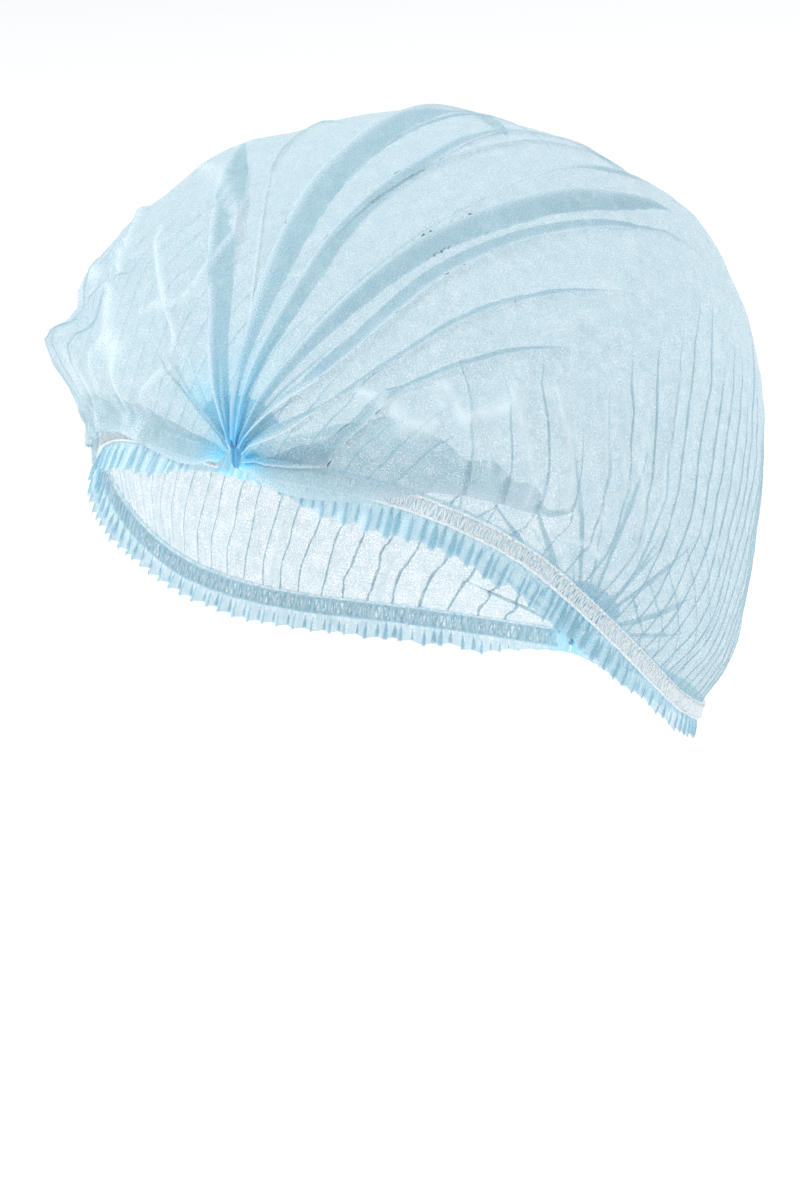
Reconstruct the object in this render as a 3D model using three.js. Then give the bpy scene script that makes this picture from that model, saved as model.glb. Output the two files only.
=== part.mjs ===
// Disposable pleated hairnet in its worn form, filled out from inside.
// Millimetres, +Z up. The cap's front faces -Y and the wearer's left is +X.
// The origin is the middle of the cap's opening, halfway between the two gathered ends.
import * as THREE from "three";

// Rounded form that fills the cap
const formHalfBreadth = 77.5;
const formHalfLength = 100;
const formRise = 95; // from the form's widest level up to its top
const formTaper = 150; // the same downwards, where the form narrows slowly
const formBack = 8.5; // the form's centre, back from the origin
const formLift = 14; // and up from it

// Opening of the cap: the front gather sits this far forward and up, the back gather as far back and down
const gatherForward = 83.5;
const gatherRise = 51;

// Cloth
const wall = 1.2;
const fullness = 14; // how far the loose cloth stands off the form at its fullest
const puffRise = 7; // extra height of the crumpled puff at the wearer's right front
const pleatRise = 2.6; // height of a lengthwise pleat's crest
const rippleDepth = 1.7; // side gathers, out and in from the smooth cloth
const ripplePitch = 5.7; // from a gather's crest to the valley beside it

// Edges and ends
const elasticWidth = 5;
const elasticThickness = 0.9;
const ruffleDepth = 7.6;
const ruffleFlare = 1.6; // how far the ruffle's free edge leans out
const ruffleWave = 1.1; // its folds, out and in
const ruffleTopWave = 0.3; // share of the folds' depth at the ruffle's top
const lobePitch = 3; // from a ruffle fold's crest to the valley beside it
const bundleReach = 13.5; // from the middle of a gathered end to where its cloth opens out
const bundleDepth = 3.2; // thickness of the packed cloth there
const bundleFlute = 0.5; // folds of the packed cloth, out and in
const neckHalfWidth = 1.7;
const tipDrop = 2.4; // how far the welded tip hangs below the elastics' middle
const tipNarrowing = 0.7; // the welded tip's share of the neck's half width
const tipThinning = 0.6; // and of the packed cloth's thickness
const seamGap = 0.3; // clearance between neighbouring pieces

// Fineness of the facets
const crownColumns = 40;
const elasticPitch = 6.2;
const bundleColumns = 14;
const bundleRows = 5;
const lineSamples = 240; // steps in which an elastic's length is measured
const tangentStep = 0.002; // share along over which an elastic's direction is taken

// Middle line of each elastic, as its angle above the plane through both gathers
const openingLine = [
  { along: 0, angle: 2 },
  { along: 0.1, angle: 4.5 },
  { along: 0.18, angle: 3 },
  { along: 0.26, angle: 0 },
  { along: 0.36, angle: -5 },
  { along: 0.5, angle: -10 },
  { along: 0.62, angle: -12.5 },
  { along: 0.75, angle: -12 },
  { along: 0.88, angle: -8 },
  { along: 1, angle: -4 },
];

// Stand-off of the cloth as shares of fullness, from the front gather (0) to the back gather (1)
const standOff = [
  { along: 0, top: 0.18, upper: 0.18, side: 0.18, low: 0.18, hem: 0.18, edge: 0.18 },
  { along: 0.05, top: 0.6, upper: 0.62, side: 0.65, low: 0.66, hem: 0.6, edge: 0.18 },
  { along: 0.12, top: 0.62, upper: 0.68, side: 0.74, low: 0.8, hem: 0.78, edge: 0.18 },
  { along: 0.22, top: 0.6, upper: 0.72, side: 0.92, low: 1, hem: 0.9, edge: 0.18 },
  { along: 0.35, top: 0.5, upper: 0.68, side: 1, low: 0.85, hem: 0.62, edge: 0.18 },
  { along: 0.5, top: 0.38, upper: 0.7, side: 0.76, low: 0.7, hem: 0.6, edge: 0.18 },
  { along: 0.65, top: 0.6, upper: 0.84, side: 0.62, low: 0.56, hem: 0.48, edge: 0.18 },
  { along: 0.8, top: 0.58, upper: 0.6, side: 0.57, low: 0.5, hem: 0.44, edge: 0.18 },
  { along: 0.92, top: 0.52, upper: 0.52, side: 0.5, low: 0.47, hem: 0.42, edge: 0.18 },
  { along: 1, top: 0.18, upper: 0.18, side: 0.18, low: 0.18, hem: 0.18, edge: 0.18 },
];

// Where the columns above lie between the crown line (0) and the cloth's lower edge (1)
const standOffColumns = [
  { name: "top", across: 0 },
  { name: "upper", across: 0.25 },
  { name: "side", across: 0.5 },
  { name: "low", across: 0.75 },
  { name: "hem", across: 0.9 },
  { name: "edge", across: 1 },
];

// Swells and dents, rise as a share of puffRise, across negative on the wearer's right
const swells = [
  { along: 0.24, across: -0.72, rise: 0.65, reachAlong: 0.14, reachAcross: 0.2 },
  { along: 0.4, across: -0.5, rise: 0.57, reachAlong: 0.16, reachAcross: 0.25 },
  { along: 0.25, across: -0.845, rise: 0.95, reachAlong: 0.08, reachAcross: 0.055 },
  { along: 0.28, across: -0.95, rise: -0.78, reachAlong: 0.12, reachAcross: 0.05 },
  { along: 0.28, across: -0.61, rise: 0.34, reachAlong: 0.08, reachAcross: 0.05 },
  { along: 0.255, across: -0.765, rise: -0.43, reachAlong: 0.07, reachAcross: 0.045 },
  { along: 0.34, across: -0.37, rise: 0.37, reachAlong: 0.08, reachAcross: 0.09 },
  { along: 0.545, across: 0.225, rise: 0.26, reachAlong: 0.055, reachAcross: 0.06 },
  { along: 0.52, across: 0.13, rise: -0.17, reachAlong: 0.07, reachAcross: 0.07 },
];

// Lengthwise pleats: crest line, signed width from the crest to the foot, rise as a share of pleatRise
const pleats = [
  { across: -0.65, width: -0.1, rise: 0.8, starts: 0, ends: 0.34 },
  { across: -0.5, width: 0.1, rise: 0.8, starts: 0, ends: 0.36 },
  { across: -0.35, width: 0.1, rise: 0.9, starts: 0, ends: 0.4 },
  { across: -0.1, width: 0.1, rise: 1, starts: 0, ends: 0.66 },
  { across: 0.05, width: 0.1, rise: 0.7, starts: 0, ends: 0.56 },
  { across: 0.25, width: 0.1, rise: 1, starts: 0, ends: 0.5 },
  { across: 0.35, width: -0.1, rise: 1, starts: 0, ends: 0.48 },
  { across: 0.45, width: -0.1, rise: 0.6, starts: 0, ends: 0.38 },
  { across: 0.6, width: -0.1, rise: 0.8, starts: 0, ends: 0.36 },
  { across: 0.7, width: -0.1, rise: 0.7, starts: 0, ends: 0.3 },
  { across: -0.65, width: 0.1, rise: 0.7, starts: 0.7, ends: 1 },
  { across: -0.4, width: 0.1, rise: 0.8, starts: 0.64, ends: 1 },
  { across: -0.2, width: 0.1, rise: 0.9, starts: 0.56, ends: 1 },
  { across: 0.2, width: -0.1, rise: 0.9, starts: 0.58, ends: 1 },
  { across: 0.4, width: -0.1, rise: 0.8, starts: 0.64, ends: 1 },
  { across: 0.65, width: -0.1, rise: 0.7, starts: 0.7, ends: 1 },
];
const creaseWidth = 0.05; // a crest's steep side, in the same shares across
const pleatFade = 0.16; // the share along in which a pleat dies out
const edgeFade = 0.1; // the share across in which swells and pleats die out at the edge
const gathersFrom = 0.3; // the side gathers grow from here across, down to the edge
const gathersFade = 6; // rows in which they grow from each gathered end

const gatherSpan = Math.hypot(gatherForward, gatherRise);
const backward = new THREE.Vector3(0, gatherForward, -gatherRise).normalize();
const upward = new THREE.Vector3(0, gatherRise, gatherForward).normalize();
const leftward = new THREE.Vector3(1, 0, 0);
const formCentre = new THREE.Vector3(0, formBack, formLift);
const crownEdgeHeight = elasticWidth / 2 + seamGap;

// Smooth curve through one named column of a table whose rows are in order of key
function smooth(rows, key, column, at) {
  const last = rows.length - 1;
  const x = Math.min(Math.max(at, rows[0][key]), rows[last][key]);
  let i = 0;
  while (i < last - 1 && rows[i + 1][key] <= x) i += 1;
  const slope = (k) => {
    const from = rows[Math.max(k - 1, 0)];
    const to = rows[Math.min(k + 1, last)];
    return (to[column] - from[column]) / (to[key] - from[key]);
  };
  const step = rows[i + 1][key] - rows[i][key];
  const s = (x - rows[i][key]) / step;
  const start = (1 + 2 * s) * (1 - s) ** 2 * rows[i][column] + s * (1 - s) ** 2 * step * slope(i);
  const end = s * s * (3 - 2 * s) * rows[i + 1][column] + s * s * (s - 1) * step * slope(i + 1);
  return start + end;
}

function ramp(x, from, to) {
  return THREE.MathUtils.smoothstep(x, from, to);
}

function lineAngle(along) {
  return THREE.MathUtils.degToRad(smooth(openingLine, "along", "angle", along));
}

// Unit vector at a share along from gather to gather and an angle up from the wearer's left
function directionAt(along, angle) {
  const turn = Math.PI * along;
  return new THREE.Vector3()
    .addScaledVector(backward, -Math.cos(turn))
    .addScaledVector(leftward, Math.sin(turn) * Math.cos(angle))
    .addScaledVector(upward, Math.sin(turn) * Math.sin(angle));
}

function rayToEllipsoid(direction, halfHeight) {
  const semi = new THREE.Vector3(formHalfBreadth, formHalfLength, halfHeight);
  const ray = direction.clone().divide(semi);
  const centre = formCentre.clone().divide(semi);
  const a = ray.dot(ray);
  const b = ray.dot(centre);
  return (b + Math.sqrt(b * b - a * (centre.dot(centre) - 1))) / a;
}

function formRadius(direction) {
  const radius = rayToEllipsoid(direction, formRise);
  return direction.z * radius >= formLift ? radius : rayToEllipsoid(direction, formTaper);
}

function formNormal(point) {
  const halfHeight = point.z >= formLift ? formRise : formTaper;
  const semi = new THREE.Vector3(formHalfBreadth, formHalfLength, halfHeight);
  return point.clone().sub(formCentre).divide(semi).divide(semi).normalize();
}

// Share of the quarter turn from the crown line to the elastic's middle that the cloth covers
function edgeShare(along) {
  const direction = directionAt(along, lineAngle(along));
  const reach = formRadius(direction) * Math.sin(Math.PI * along);
  return 1 - crownEdgeHeight / ((Math.PI / 2 - lineAngle(along)) * reach);
}

function clothDirection(along, across) {
  const quarter = (Math.PI / 2 - lineAngle(along)) * edgeShare(along);
  return directionAt(along, Math.PI / 2 - across * quarter);
}

function standOffShare(along, across) {
  const profile = standOffColumns.map((column) => ({
    across: column.across,
    share: smooth(standOff, "along", column.name, along),
  }));
  return smooth(profile, "across", "share", Math.abs(across));
}

function swellShare(along, across) {
  return swells.reduce((sum, swell) => {
    const a = (along - swell.along) / swell.reachAlong;
    const b = (across - swell.across) / swell.reachAcross;
    return sum + swell.rise * Math.exp(-a * a - b * b);
  }, 0);
}

// One pleat's height across it: 1 at its crest, falling slowly to its foot and at once behind it
function pleatProfile(pleat, across) {
  const inward = (across - pleat.across) / pleat.width;
  if (inward >= 0) return Math.max(0, 1 - inward);
  return Math.max(0, 1 - (Math.abs(pleat.width) / creaseWidth) * -inward);
}

function pleatShare(along, across) {
  return pleats.reduce((sum, pleat) => {
    const grown = pleat.starts > 0 ? ramp(along, pleat.starts, pleat.starts + pleatFade) : 1;
    const left = pleat.ends < 1 ? 1 - ramp(along, pleat.ends - pleatFade, pleat.ends) : 1;
    return sum + pleat.rise * grown * left * pleatProfile(pleat, across);
  }, 0);
}

function clothRadius(along, across) {
  const edge = ramp(1 - Math.abs(across), 0, edgeFade);
  return (
    formRadius(clothDirection(along, across)) +
    fullness * standOffShare(along, across) +
    puffRise * swellShare(along, across) * edge +
    pleatRise * pleatShare(along, across) * edge
  );
}

// Closed body between an outer and an inner grid of points, columns crossed with rows facing out
function closedBody(outer, inner) {
  const rows = outer.length;
  const columns = outer[0].length;
  const positions = [...outer.flat(), ...inner.flat()].flatMap((point) => point.toArray());
  const out = (i, j) => i * columns + j;
  const back = (i, j) => rows * columns + i * columns + j;
  const index = [];
  const quad = (a, b, c, d) => index.push(a, b, c, a, c, d);
  for (let i = 0; i < rows - 1; i += 1) {
    for (let j = 0; j < columns - 1; j += 1) {
      quad(out(i, j), out(i, j + 1), out(i + 1, j + 1), out(i + 1, j));
      quad(back(i, j), back(i + 1, j), back(i + 1, j + 1), back(i, j + 1));
    }
    quad(out(i, 0), out(i + 1, 0), back(i + 1, 0), back(i, 0));
    quad(out(i + 1, columns - 1), out(i, columns - 1), back(i, columns - 1), back(i + 1, columns - 1));
  }
  for (let j = 0; j < columns - 1; j += 1) {
    quad(out(0, j + 1), out(0, j), back(0, j), back(0, j + 1));
    quad(out(rows - 1, j), out(rows - 1, j + 1), back(rows - 1, j + 1), back(rows - 1, j));
  }
  const geometry = new THREE.BufferGeometry();
  geometry.setAttribute("position", new THREE.Float32BufferAttribute(positions, 3));
  geometry.setIndex(index);
  geometry.computeVertexNormals();
  return geometry;
}

function grid(rows, columns, pointAt) {
  return Array.from({ length: rows + 1 }, (_, i) =>
    Array.from({ length: columns + 1 }, (__, j) => pointAt(i, j)),
  );
}

// Share along at which the cloth opens out of a gathered end
function bundleShare(reach) {
  return reach / (Math.PI * gatherSpan);
}

function crown() {
  const first = bundleShare(bundleReach + seamGap);
  const last = 1 - first;
  const rows = 2 * Math.round(((last - first) * Math.PI * gatherSpan) / (2 * ripplePitch));
  const surface = (depth) =>
    grid(rows, crownColumns, (i, j) => {
      const along = first + ((last - first) * i) / rows;
      const across = -1 + (2 * j) / crownColumns;
      const fromEnd = Math.min(i, rows - i);
      const rise = ramp(Math.abs(across), gathersFrom, 1) * ramp(fromEnd, 0, gathersFade);
      const ripple = rippleDepth * rise * (i % 2 ? 1 : -1);
      const direction = clothDirection(along, across);
      return direction.multiplyScalar(clothRadius(along, across) + ripple - depth);
    });
  return closedBody(surface(0), surface(wall));
}

// Point on an elastic's middle line, side 1 on the wearer's left and -1 on the right
function linePoint(along, side) {
  const direction = directionAt(along, lineAngle(along));
  const edgeStandOff = fullness * standOffShare(along, 1);
  direction.multiplyScalar(formRadius(direction) + edgeStandOff);
  direction.x *= side;
  return direction;
}

// Distances along an elastic's line from the front gather, at even shares along
function lineDistances() {
  const distances = [0];
  for (let i = 1; i <= lineSamples; i += 1) {
    const step = linePoint(i / lineSamples, 1).distanceTo(linePoint((i - 1) / lineSamples, 1));
    distances.push(distances[i - 1] + step);
  }
  return distances;
}

function lineLength() {
  return lineDistances()[lineSamples];
}

// Evenly spaced shares along an elastic's line, from one gather's neck to the other's
function evenStations(count) {
  const distances = lineDistances();
  const start = neckHalfWidth + seamGap;
  const whole = distances[lineSamples] - 2 * start;
  return Array.from({ length: count + 1 }, (_, k) => {
    const wanted = start + (whole * k) / count;
    const next = distances.findIndex((distance) => distance >= wanted);
    const part = (wanted - distances[next - 1]) / (distances[next] - distances[next - 1]);
    return (next - 1 + part) / lineSamples;
  });
}

// Point beside an elastic's middle line: below it along the cloth, and out from the form
function besideLine(along, side, below, out) {
  const point = linePoint(along, 1);
  const ahead = linePoint(Math.min(along + tangentStep, 1), 1);
  const tangent = ahead.sub(linePoint(Math.max(along - tangentStep, 0), 1)).normalize();
  const normal = formNormal(point);
  const down = new THREE.Vector3().crossVectors(tangent, normal).negate().normalize();
  if (down.dot(upward) > 0) down.negate();
  point.addScaledVector(down, below).addScaledVector(normal, out);
  point.x *= side;
  return point;
}

// Strip that runs beside an elastic's line, columns given as places below the line and out from it
function strip(side, stations, outerColumn, innerColumn) {
  const order = side > 0 ? [0, 1] : [1, 0];
  const surface = (place) =>
    stations.map((along, i) =>
      order.map((column) => {
        const { below, out } = place(i, column);
        return besideLine(along, side, below, out);
      }),
    );
  return closedBody(surface(outerColumn), surface(innerColumn));
}

function elastic(side) {
  const stations = evenStations(Math.round(lineLength() / elasticPitch));
  const below = (column) => (column - 0.5) * elasticWidth;
  return strip(
    side,
    stations,
    (i, column) => ({ below: below(column), out: 0 }),
    (i, column) => ({ below: below(column), out: -elasticThickness }),
  );
}

function ruffle(side) {
  const stations = evenStations(2 * Math.round(lineLength() / (2 * lobePitch)));
  const top = elasticWidth / 2 + seamGap;
  const place = (i, column, depth) => {
    const wave = ruffleWave * (i % 2 ? 1 : -1) * (column ? 1 : ruffleTopWave);
    return { below: top + column * ruffleDepth, out: column * ruffleFlare + wave - depth };
  };
  return strip(
    side,
    stations,
    (i, column) => place(i, column, 0),
    (i, column) => place(i, column, wall),
  );
}

// Point seen from the origin at a height and a sideways distance from a gathered end's middle
function nearEnd(end, up, left) {
  return new THREE.Vector3()
    .addScaledVector(backward, end * gatherSpan)
    .addScaledVector(upward, up)
    .addScaledVector(leftward, left)
    .normalize();
}

function clothRadiusToward(direction) {
  const along = Math.acos(THREE.MathUtils.clamp(-direction.dot(backward), -1, 1)) / Math.PI;
  const angle = Math.atan2(direction.dot(upward), Math.abs(direction.x));
  const edge = bundleShare(bundleReach);
  const quarter = (Math.PI / 2 - lineAngle(along)) * edgeShare(Math.min(Math.max(along, edge), 1 - edge));
  const across = Math.min(1, (Math.PI / 2 - angle) / quarter);
  return formRadius(direction) + fullness * standOffShare(along, across);
}

// Pinched bundle at a gathered end (-1 front, 1 back): a welded tip, a neck between the elastics
// and a fan of packed folds that opens out to the crown
function bundle(end) {
  const opening = bundleShare(bundleReach);
  const along = end < 0 ? opening : 1 - opening;
  const neck = [
    { up: -tipDrop, half: tipNarrowing * neckHalfWidth, thick: tipThinning },
    { up: 0, half: neckHalfWidth, thick: 1 },
    { up: crownEdgeHeight, half: neckHalfWidth, thick: 1 },
  ];
  const lastNeck = neck.length - 1;
  const rows = lastNeck + bundleRows;
  const surface = (inner) =>
    grid(rows, bundleColumns, (i, j) => {
      const across = (-1 + (2 * j) / bundleColumns) * -end;
      const opened = Math.max(0, i - lastNeck) / bundleRows;
      const section = neck[Math.min(i, lastNeck)];
      const direction = nearEnd(end, section.up, section.half * across);
      direction.lerp(clothDirection(along, across), opened).normalize();
      const thickness = THREE.MathUtils.lerp(section.thick * bundleDepth, wall, opened);
      const flute = bundleFlute * (j % 2 ? 1 : -1) * Math.sin(Math.PI * Math.min(1, (i + 1) / rows));
      const radius = clothRadiusToward(direction) + flute;
      return direction.multiplyScalar(inner ? radius - thickness : radius);
    });
  return closedBody(surface(false), surface(true));
}

const cloth = new THREE.MeshStandardMaterial({ color: 0xbfe0ee, roughness: 0.85, metalness: 0 });
const packedCloth = new THREE.MeshStandardMaterial({ color: 0x7cc4ea, roughness: 0.8, metalness: 0 });
const rubberThread = new THREE.MeshStandardMaterial({ color: 0xf1f4f4, roughness: 0.6, metalness: 0 });

function piece(name, geometry, material) {
  const mesh = new THREE.Mesh(geometry, material);
  mesh.name = name;
  return mesh;
}

const group = new THREE.Group();
group.name = "hairnet";
group.add(
  piece("crown", crown(), cloth),
  piece("front_gather", bundle(-1), packedCloth),
  piece("back_gather", bundle(1), packedCloth),
  piece("elastic_left", elastic(1), rubberThread),
  piece("elastic_right", elastic(-1), rubberThread),
  piece("ruffle_left", ruffle(1), cloth),
  piece("ruffle_right", ruffle(-1), cloth),
);

export default group;
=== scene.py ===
"""Disposable pleated hairnet in its worn form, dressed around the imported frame.

The shape functions work in millimetres, and each mesh is written in metres.
The cap's front faces -Y, the wearer's left is +X, and the origin is the middle of the cap's opening.
A place on the cloth is a share along, from the front gather (0) to the back gather (1), and a share
across, from the crown line (0) to the lower edge on the wearer's left (1) or right (-1).
"""
import math

import bpy
import numpy as np
from mathutils import Matrix, Vector


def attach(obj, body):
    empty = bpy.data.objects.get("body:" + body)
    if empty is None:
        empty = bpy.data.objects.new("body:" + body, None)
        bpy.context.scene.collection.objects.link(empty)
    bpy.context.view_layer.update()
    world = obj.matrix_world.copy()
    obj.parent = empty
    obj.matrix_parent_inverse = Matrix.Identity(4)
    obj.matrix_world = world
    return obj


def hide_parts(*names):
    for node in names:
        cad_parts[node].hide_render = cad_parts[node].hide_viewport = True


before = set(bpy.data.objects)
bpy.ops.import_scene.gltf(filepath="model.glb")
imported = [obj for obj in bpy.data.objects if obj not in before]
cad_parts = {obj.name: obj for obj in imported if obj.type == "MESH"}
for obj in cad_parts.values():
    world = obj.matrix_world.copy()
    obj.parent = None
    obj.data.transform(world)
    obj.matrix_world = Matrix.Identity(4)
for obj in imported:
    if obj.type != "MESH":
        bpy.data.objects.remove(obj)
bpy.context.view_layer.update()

MM = 0.001

# Rounded form that fills the cap, and the two gathered ends, as the frame's solids have them
FORM_SEMI_AXES = (77.5, 100.0, 95.0)
FORM_TAPER = 150.0
FORM_CENTRE = np.array([0.0, 8.5, 14.0])
GATHER_FORWARD = 83.5
GATHER_RISE = 51.0
GATHER_SPAN = math.hypot(GATHER_FORWARD, GATHER_RISE)
BACKWARD = np.array([0.0, GATHER_FORWARD, -GATHER_RISE]) / GATHER_SPAN
UPWARD = np.array([0.0, GATHER_RISE, GATHER_FORWARD]) / GATHER_SPAN
LEFTWARD = np.array([1.0, 0.0, 0.0])

# Cloth
FULLNESS = 14.0
PUFF_RISE = 7.0
ELASTIC_WIDTH = 5.0
SEAM_GAP = 0.3
EDGE_HEIGHT = ELASTIC_WIDTH / 2 + SEAM_GAP
RUFFLE_DEPTH = 6.4
FOLD_ANGLE = math.radians(25)

# Mesh of the crown's sheet, whose rows and columns crowd together at the folds.
# Each crowding is a weight and a reach, the reach as a share.
CROWN_ROWS = 338
CROWN_COLUMNS = 292
CROWN_START = 0.012
CROWDED_ROWS = (0.02, 0.05, 0.95, 0.98)
CROWDED_COLUMNS = (0.72, 0.8, 0.88, 0.96)
ROW_CROWDING = (2.6, 0.006)
EDGE_CROWDING = (1.8, 0.025)
PLEAT_CROWDING = (3.0, 0.022)

# Pleats of the crown: rises in mm, and the rest as shares
PLEAT_FADE = 0.14
PLEAT_OPENING = 0.1
PLEAT_REACH = 1.5
PLEAT_LEAST_REACH = 0.02
PLEAT_LEAST_RISE = 0.65
PLEAT_RISE_PER_SHARE = 16
PLEAT_WIDEST = 0.1
PLEAT_WANDER = 0.006

# Short packing folds at each gathered end: the rise in mm, and the rest as shares
PACKING_SPAN = 0.66
PACKING_COUNT = 15
PACKING_REACH = 0.045
PACKING_STRAY = 0.025
PACKING_ENDS = (0.09, 0.17)
PACKING_RISE = 0.7

# Tucks that rise from the elastics, tall ones with short ones between them: rises in mm, the rest as shares
TUCK_FIRST = 0.19
TUCK_LAST = 0.93
TUCK_PITCH = 0.032
TUCK_PITCH_DROP = 0.009
TUCK_REACH = 0.0075
TUCK_OVERLAP = 0.0032
TUCK_RISE = 0.5
TUCK_TOP = 0.54
TUCK_TOP_DROP = 0.18
TUCK_TOP_UNEVEN = 0.09
TUCK_FADE = 0.2
TUCK_SWAY = 0.0034
TUCK_SWAY_DROP = 0.0012
SHORT_TUCK_REACH = 0.0055
SHORT_TUCK_OVERLAP = 0.0028
SHORT_TUCK_RISE = 0.35
TUCK_LEAN = 0.6
KINK_REACH = 0.0045
LOOSE_FLATNESS = 0.85

# Creases and crumples: rises in mm, and places along and across
PUFF_CREASE_RISE = 2.4
SIDE_CREASE_RISE = 1.3
PUFF_PLACE = (0.24, -0.72)
PUFF_RIDGE_RISE = 1.7
SMOCKED_PLACE = (0.27, 0.76)
SMOCKING_RISE = 0.9

# Ruffles in mm, with the mesh's steps along each fold and down it
RUFFLE_NECK = 0.35
RUFFLE_PITCH = 5.7
RUFFLE_TOP = -EDGE_HEIGHT - 0.4
RUFFLE_STEPS = 20
RUFFLE_ROWS = 18
RUFFLE_FULL_FROM = 30.0
RUFFLE_BACK_LOSS = 0.35

# Elastics: rails and threads in mm, each thread with its pitch and its start as a share of a turn
ELASTIC_START = 4.5
RAIL_RADIUS = 0.42
RAIL_INSET = 0.55
RAIL_STEPS = 420
THREAD_RADIUS = 0.17
THREAD_STEPS = 8
THREADS = ((1.7, 0.0), (2.3, 0.4), (2.05, 0.7))

# Packed cloth at the gathered ends, in mm, and the share of it where its neck ends
BUNDLE_ROWS = 46
BUNDLE_COLUMNS = 150
BUNDLE_REACH = 15.0
BUNDLE_FLUTE = 0.75
NECK_ENDS = 0.24

# Colours
PALE_BLUE = (0.37, 0.555, 0.635)
DEEP_BLUE = (0.25, 0.75, 0.97)
# White of single fibres, also used for the painted highlight on pressed crests and creases
FIBRE_AND_HIGHLIGHT_WHITE = (0.82, 0.89, 0.92)
THREAD_BLUE = (0.6, 0.72, 0.77)
THREAD_WHITE = (0.9, 0.92, 0.93)
FLOOR_GREY = (0.86, 0.87, 0.88)

# Texture cells for each metre
FIBRE_SCALE = 3400.0
CLOUD_SCALE = 260.0
BOND_SCALE = 820.0
THREAD_SCALE = 1800.0

# How much of the view the cloth hides, from 0 to 1
THIN_COVER = 0.52
PACKED_COVER = 0.85
PRESSED_COVER = 0.42
LOOSE_COVER = -0.2
LEAST_COVER = 0.04
MOST_COVER = 0.98

# Floor, in metres
FLOOR_HALF = 6.0
FLOOR_HEIGHT = -0.2

# Lamps: name, place and size in metres, power in watts, colour
LAMPS = (
    ("key", (-1.1, -1.2, 1.3), 0.6, 36.0, (1.0, 0.99, 0.97)),
    ("fill", (1.5, -0.7, 0.8), 1.2, 9.0, (0.97, 0.99, 1.0)),
    ("rim", (0.3, 1.3, 1.2), 1.0, 14.0, (1.0, 1.0, 1.0)),
)
LAMP_TARGET = Vector((0, 0, 0.03))
SKY_COLOR = (0.96, 0.98, 1.0)
SKY_STRENGTH = 0.6

# The photograph's view: round to the wearer's left, up and rolled, in degrees
VIEW_TURN = 30
VIEW_RISE = 22
VIEW_ROLL = 2
VIEW_DISTANCE = 1.3
PHOTO_WIDTH = 800
PHOTO_HEIGHT = 1200
ORIGIN_PIXEL = (405, 553)
PIXELS_PER_METRE = 3750.0
SENSOR_HEIGHT = 36.0

# Middle line of each elastic: its angle above the plane through both gathers, at shares along
LINE_ALONG = (0, 0.1, 0.18, 0.26, 0.36, 0.5, 0.62, 0.75, 0.88, 1)
LINE_DEGREES = (2, 4.5, 3, 0, -5, -10, -12.5, -12, -8, -4)

# Stand-off as shares of the fullness, rows from front to back, columns from the crown line to the edge
STAND_OFF_ALONG = (0, 0.05, 0.12, 0.22, 0.35, 0.5, 0.65, 0.8, 0.92, 1)
STAND_OFF_ACROSS = (0, 0.25, 0.5, 0.75, 0.9, 1)
STAND_OFF = (
    (0.18, 0.18, 0.18, 0.18, 0.18, 0.18),
    (0.60, 0.62, 0.65, 0.66, 0.60, 0.18),
    (0.62, 0.68, 0.74, 0.80, 0.78, 0.18),
    (0.60, 0.72, 0.92, 1.00, 0.90, 0.18),
    (0.50, 0.68, 1.00, 0.85, 0.62, 0.18),
    (0.38, 0.70, 0.76, 0.70, 0.60, 0.18),
    (0.60, 0.84, 0.62, 0.56, 0.48, 0.18),
    (0.58, 0.60, 0.57, 0.50, 0.44, 0.18),
    (0.52, 0.52, 0.50, 0.47, 0.42, 0.18),
    (0.18, 0.18, 0.18, 0.18, 0.18, 0.18),
)

# Swells and dents: along, across, rise as a share of the puff, reach along, reach across
SWELLS = (
    (0.24, -0.72, 0.65, 0.14, 0.2),
    (0.4, -0.5, 0.57, 0.16, 0.25),
    (0.25, -0.845, 0.95, 0.08, 0.055),
    (0.28, -0.95, -0.78, 0.12, 0.05),
    (0.28, -0.61, 0.34, 0.08, 0.05),
    (0.255, -0.765, -0.43, 0.07, 0.045),
    (0.34, -0.37, 0.37, 0.08, 0.09),
    (0.545, 0.225, 0.26, 0.055, 0.06),
    (0.52, 0.13, -0.17, 0.07, 0.07),
)

# Pleats from the front gather. The crest and the overlap are given at three stations along.
# A lie of 1 has its free edge towards the wearer's left, and -1 towards the right.
STATIONS = (0.08, 0.2, 0.36)
FRONT_PLEATS = (
    {"crest": (-0.12, -0.1, -0.08), "overlap": (0.1, 0.085, 0.05), "ends": 0.52, "lie": -1},
    {"crest": (0.03, 0.045, 0.09), "overlap": (0.1, 0.05, 0.02), "ends": 0.36, "lie": -1},
    {"crest": (0.165, 0.175, 0.186), "overlap": (0.02, 0.014, 0.012), "ends": 0.5, "lie": -1},
    {"crest": (0.235, 0.235, 0.25), "overlap": (0.07, 0.065, 0.04), "ends": 0.46, "lie": -1},
    {"crest": (0.49, 0.36, 0.325), "overlap": (0.08, 0.045, 0.012), "ends": 0.48, "lie": 1},
    {"crest": (0.64, 0.49, 0.455), "overlap": (0.03, 0.02, 0.012), "ends": 0.38, "lie": 1},
    {"crest": (0.74, 0.61, 0.575), "overlap": (0.03, 0.02, 0.012), "ends": 0.34, "lie": 1},
    {"crest": (-0.33, -0.335, -0.32), "overlap": (0.12, 0.08, 0.02), "ends": 0.34, "lie": -1},
    {"crest": (-0.18, -0.21, -0.23), "overlap": (0.02, 0.014, 0.012), "ends": 0.42, "lie": 1},
)
TOP_PLEATS = tuple(
    {"crest": crest, "overlap": (0.012, 0.012, 0.012), "starts": starts, "ends": ends, "lie": lie}
    for crest, starts, ends, lie in (
        ((0.0, 0.03, 0.1), 0.16, 0.54, 1),
        ((0.07, 0.085, 0.135), 0.14, 0.5, 1),
        ((-0.02, -0.02, -0.015), 0.18, 0.56, -1),
    )
)
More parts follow.
